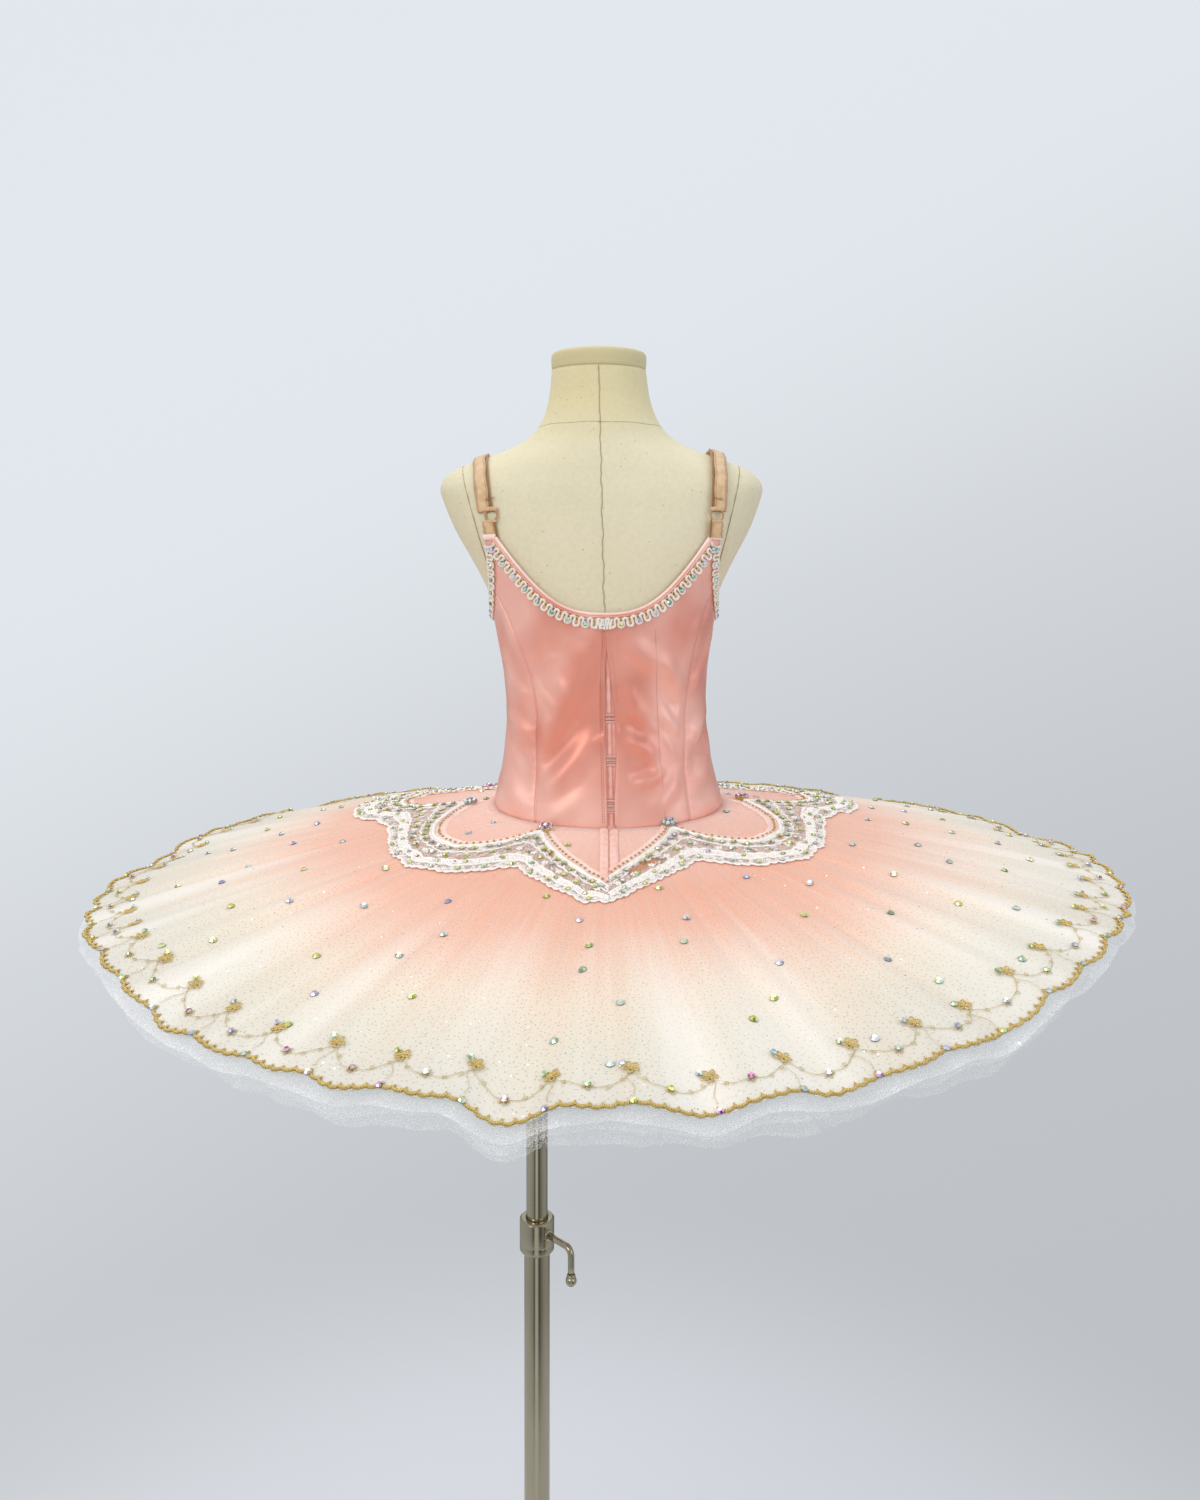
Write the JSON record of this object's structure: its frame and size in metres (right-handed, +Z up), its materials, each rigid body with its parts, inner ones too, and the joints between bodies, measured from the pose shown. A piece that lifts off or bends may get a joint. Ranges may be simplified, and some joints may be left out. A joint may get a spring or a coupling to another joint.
{
  "type": "ballet tutu on a dress form stand",
  "caption": "Child's pancake ballet tutu with a satin bodice, lace and a gold scalloped rim, on a limbless linen dress form and a telescopic pole with a round base.",
  "frame": {"origin": "centre of the round base's underside, on the pole's axis, on the floor", "axes": "+Z up; +Y towards the garment's back, which the picture shows; +X towards the wearer's left"},
  "size_m": [0.914, 0.914, 1.452],
  "materials": {
    "satin": "peach-pink duchess satin",
    "piping": "pale pink satin binding",
    "braid": "white looped braid with gold cord",
    "elastic": "skin-tone elastic",
    "ring": "coated strap ring",
    "tulle": "dotted tulle dyed peach at the hips and fading to ivory",
    "net": "white stiff net",
    "lace": "white corded lace",
    "gold_thread": "gold metallic braid",
    "cotton": "pink cotton",
    "linen": "natural linen over a hard shell",
    "chrome": "polished chrome plate",
    "base_metal": "plated steel disc"
  },
  "bodies": {
    "stand": {"stand_base": "base_metal", "stand_tube": "chrome", "clamp_collar": "chrome"},
    "screw": {"clamp_lever": "chrome"},
    "mast": {"mast_tube": "chrome"},
    "form": {"bodice_back_left": "satin", "bodice_back_right": "satin", "bodice_side_back_left": "satin", "bodice_side_back_right": "satin", "bodice_side_front_left": "satin", "bodice_side_front_right": "satin", "bodice_front": "satin", "neck_piping_back": "piping", "neck_piping_front": "piping", "skirt_placket_left": "piping", "skirt_placket_right": "piping", "neck_braid_back": "braid", "neck_braid_front": "braid", "armhole_braid_left": "braid", "armhole_braid_right": "braid", "strap_left": "elastic", "strap_right": "elastic", "strap_tab_left": "elastic", "strap_tab_right": "elastic", "strap_ring_left": "ring", "strap_ring_right": "ring", "skirt_overlay": "tulle", "net_1": "net", "net_2": "net", "net_3": "net", "lace_left": "lace", "lace_right": "lace", "rim_braid": "gold_thread", "closure_tape": "cotton", "brief_front": "cotton", "brief_back": "cotton", "brief_gusset": "cotton", "form_torso": "linen", "form_neck_cap": "linen", "form_socket": "chrome"}
  },
  "joints": [
    {"name": "height_slide", "type": "slide", "parent": "stand", "child": "mast", "axis": [0, 0, 1], "range_m": [-0.22, 0.18]},
    {"name": "form_turn", "type": "hinge", "parent": "mast", "child": "form", "pos_m": [0, 0, 0.92], "axis": [0, 0, 1], "continuous": true},
    {"name": "clamp_turn", "type": "hinge", "parent": "stand", "child": "screw", "pos_m": [0, 0, 0.6265], "axis": [-0.7071, 0.7071, 0], "range_deg": [-90, 90]}
  ]
}
